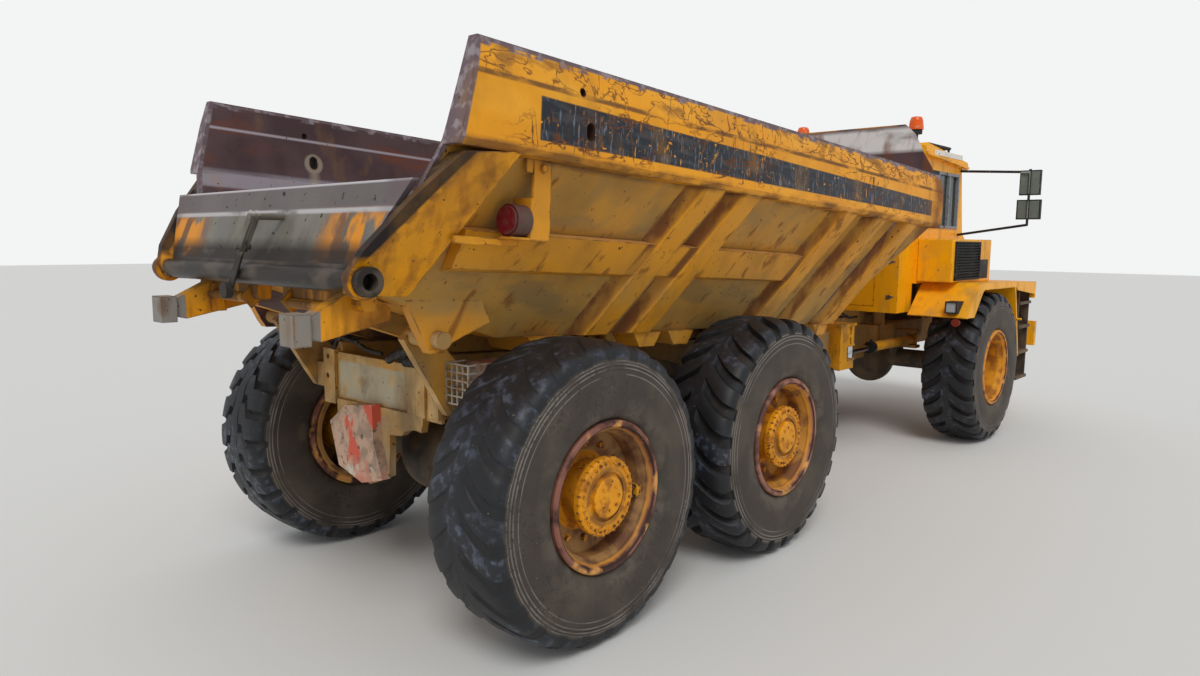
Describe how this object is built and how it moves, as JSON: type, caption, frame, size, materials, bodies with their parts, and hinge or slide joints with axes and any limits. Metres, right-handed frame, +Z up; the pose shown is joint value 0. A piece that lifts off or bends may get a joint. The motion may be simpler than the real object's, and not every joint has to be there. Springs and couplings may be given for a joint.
{
  "type": "articulated dump truck",
  "caption": "Yellow articulated dump truck with a ribbed tipping body, linked tailgate, enclosed cab and a steering frame joint, worn and dusty",
  "frame": {"origin": "middle of the truck's length and width, on the ground under the tyres", "axes": "+X forward, +Y to the truck's left, +Z up"},
  "size_m": [8.958, 2.96, 3.1603],
  "materials": {
    "frame_paint": "worn yellow-brown paint",
    "machine_yellow": "scuffed gloss paint",
    "dark_steel": "dusty dark paint",
    "worn_steel": "worn bare steel with paint remnants",
    "rod_chrome": "polished",
    "black_plastic": "matt black",
    "beacon_orange": "clear orange",
    "lamp_red": "dusty dark red lens",
    "window_glass": "clear, slightly dusty",
    "tyre_rubber": "dusty black"
  },
  "bodies": {
    "rear_frame": {"frame_rear": "frame_paint", "frame_brackets": "frame_paint", "tow_casting": "worn_steel", "valve_box": "worn_steel", "bogie_beams": "frame_paint", "rear_axles": "dark_steel", "rear_shaft": "dark_steel"},
    "hitch": {"hitch_yoke": "frame_paint"},
    "front_frame": {"frame_front": "frame_paint", "front_axle": "dark_steel", "engine_block": "dark_steel", "cab_shell": "machine_yellow", "cab_roof": "machine_yellow", "cab_glass": "window_glass", "cab_seat": "black_plastic", "cab_console": "black_plastic", "mudguards": "machine_yellow", "cabinet": "machine_yellow", "bumper": "machine_yellow", "exhaust": "dark_steel", "steps": "dark_steel", "mirrors": "black_plastic", "lamps": "beacon_orange", "roof_rack": "black_plastic", "louvre": "black_plastic", "window_frames": "black_plastic", "head_lamps": "window_glass", "work_lamps": "black_plastic"},
    "hood": {"hood": "machine_yellow", "hood_grille": "black_plastic"},
    "cab_door": {"cab_door": "machine_yellow", "door_glass": "window_glass"},
    "cabinet_door": {"cabinet_door": "machine_yellow"},
    "dump_body": {"body_shell": "machine_yellow", "body_ribs": "machine_yellow", "floor_frame": "machine_yellow", "rear_posts": "machine_yellow", "stop_arms": "frame_paint", "spill_guard": "worn_steel", "tail_lamps": "lamp_red"},
    "tailgate": {"tailgate": "worn_steel"},
    "gate_link": {"gate_link": "worn_steel"},
    "hoist_barrels": {"hoist_barrels": "dark_steel"},
    "hoist_rods": {"hoist_rods": "rod_chrome"},
    "steer_barrel_l": {"steer_barrel_l": "machine_yellow"},
    "steer_barrel_r": {"steer_barrel_r": "machine_yellow"},
    "steer_rod_l": {"steer_rod_l": "rod_chrome"},
    "steer_rod_r": {"steer_rod_r": "rod_chrome"},
    "wheel_rl": {"tyre_rl": "tyre_rubber", "rim_rl": "machine_yellow"},
    "wheel_rr": {"tyre_rr": "tyre_rubber", "rim_rr": "machine_yellow"},
    "wheel_ml": {"tyre_ml": "tyre_rubber", "rim_ml": "machine_yellow"},
    "wheel_mr": {"tyre_mr": "tyre_rubber", "rim_mr": "machine_yellow"},
    "wheel_fl": {"tyre_fl": "tyre_rubber", "rim_fl": "machine_yellow"},
    "wheel_fr": {"tyre_fr": "tyre_rubber", "rim_fr": "machine_yellow"}
  },
  "joints": [
    {"name": "frame_roll", "type": "hinge", "parent": "rear_frame", "child": "hitch", "pos_m": [0.749, 0, 1], "axis": [1, 0, 0], "range_deg": [-15, 15]},
    {"name": "steer", "type": "hinge", "parent": "hitch", "child": "front_frame", "pos_m": [1.229, 0, 1.02], "axis": [0, 0, 1], "range_deg": [-45, 45]},
    {"name": "tip", "type": "hinge", "parent": "rear_frame", "child": "dump_body", "pos_m": [-3.841, 0, 1.5], "axis": [0, -1, 0], "range_deg": [0, 70]},
    {"name": "tailgate", "type": "hinge", "parent": "dump_body", "child": "tailgate", "pos_m": [-4.311, 0, 1.78], "axis": [0, -1, 0], "range_deg": [0, 70]},
    {"name": "gate_link", "type": "hinge", "parent": "tailgate", "child": "gate_link", "pos_m": [-4.373, -0.075, 1.905], "axis": [1, 0, 0], "range_deg": [-15, 15]},
    {"name": "hoist_swing", "type": "hinge", "parent": "rear_frame", "child": "hoist_barrels", "pos_m": [-0.471, 0, 0.76], "axis": [0, 1, 0], "range_deg": [0, 24]},
    {"name": "hoist_slide", "type": "slide", "parent": "hoist_barrels", "child": "hoist_rods", "axis": [-0.9683, 0, 0.2497], "range_m": [0, 1.371]},
    {"name": "steer_swing_l", "type": "hinge", "parent": "front_frame", "child": "steer_barrel_l", "pos_m": [2.479, 0.47, 0.95], "axis": [0, 0, 1], "range_deg": [-9, 9]},
    {"name": "steer_slide_l", "type": "slide", "parent": "steer_barrel_l", "child": "steer_rod_l", "axis": [-0.9998, -0.021, 0], "range_m": [-0.36, 0.36]},
    {"name": "steer_swing_r", "type": "hinge", "parent": "front_frame", "child": "steer_barrel_r", "pos_m": [2.479, -0.47, 0.95], "axis": [0, 0, 1], "range_deg": [-9, 9]},
    {"name": "steer_slide_r", "type": "slide", "parent": "steer_barrel_r", "child": "steer_rod_r", "axis": [-0.9998, 0.021, 0], "range_m": [-0.36, 0.36]},
    {"name": "hood", "type": "hinge", "parent": "front_frame", "child": "hood", "pos_m": [4.279, 0, 1.11], "axis": [0, 1, 0], "range_deg": [0, 70]},
    {"name": "cab_door", "type": "hinge", "parent": "front_frame", "child": "cab_door", "pos_m": [2.917, 0.716, 2.1], "axis": [0, 0, -1], "range_deg": [0, 78]},
    {"name": "cabinet_door", "type": "hinge", "parent": "front_frame", "child": "cabinet_door", "pos_m": [1.553, 0.03, 1.65], "axis": [0, 0, -1], "range_deg": [0, 95]},
    {"name": "wheel_rl", "type": "hinge", "parent": "rear_frame", "child": "wheel_rl", "pos_m": [-3.221, 1.06, 0.74], "axis": [0, 1, 0], "continuous": true},
    {"name": "wheel_rr", "type": "hinge", "parent": "rear_frame", "child": "wheel_rr", "pos_m": [-3.221, -1.06, 0.74], "axis": [0, 1, 0], "continuous": true},
    {"name": "wheel_ml", "type": "hinge", "parent": "rear_frame", "child": "wheel_ml", "pos_m": [-1.551, 1.06, 0.74], "axis": [0, 1, 0], "continuous": true},
    {"name": "wheel_mr", "type": "hinge", "parent": "rear_frame", "child": "wheel_mr", "pos_m": [-1.551, -1.06, 0.74], "axis": [0, 1, 0], "continuous": true},
    {"name": "wheel_fl", "type": "hinge", "parent": "front_frame", "child": "wheel_fl", "pos_m": [2.519, 1.06, 0.74], "axis": [0, 1, 0], "continuous": true},
    {"name": "wheel_fr", "type": "hinge", "parent": "front_frame", "child": "wheel_fr", "pos_m": [2.519, -1.06, 0.74], "axis": [0, 1, 0], "continuous": true}
  ],
  "couplings": [
    {"joint": "tailgate", "follows": "tip", "ratio": 0.99},
    {"joint": "hoist_swing", "follows": "tip", "ratio": 0.33225},
    {"joint": "hoist_slide", "follows": "tip", "m_per_rad": 1.1177},
    {"joint": "steer_swing_l", "follows": "steer", "ratio": -0.1},
    {"joint": "steer_slide_l", "follows": "steer", "m_per_rad": -0.4237},
    {"joint": "steer_swing_r", "follows": "steer", "ratio": -0.1},
    {"joint": "steer_slide_r", "follows": "steer", "m_per_rad": 0.4237}
  ]
}
